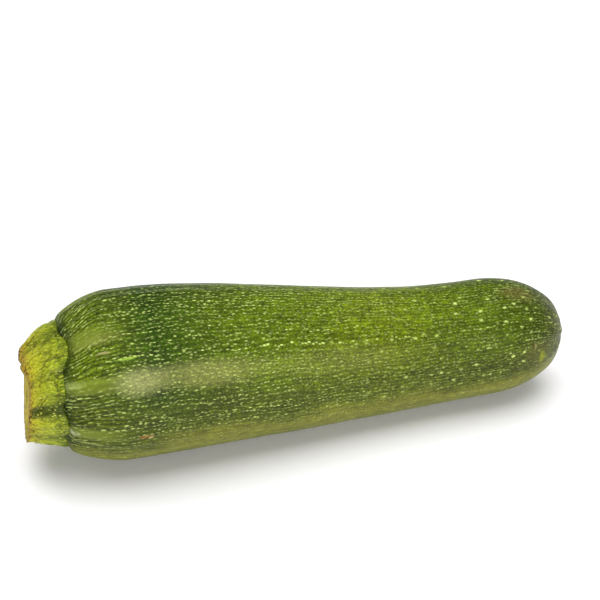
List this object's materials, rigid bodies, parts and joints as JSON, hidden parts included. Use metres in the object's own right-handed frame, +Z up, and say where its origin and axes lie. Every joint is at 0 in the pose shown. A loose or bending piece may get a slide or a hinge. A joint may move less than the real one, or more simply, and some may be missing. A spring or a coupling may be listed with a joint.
{
  "type": "zucchini",
  "caption": "Whole dark green zucchini with a round blossom end, a ridged shoulder and a short cut stalk, lying on its side.",
  "frame": {"origin": "on the surface that the zucchini lies on, under the middle of its bounding box", "axes": "+X runs along the fruit from the stalk to the blossom end, +Z is up from the surface, and +Y is to the left of +X"},
  "size_m": [0.1725, 0.0522, 0.0519],
  "materials": {
    "skin": "satin",
    "stem": "matte"
  },
  "bodies": {
    "root": {"fruit": "skin", "stalk": "stem"}
  },
  "joints": []
}
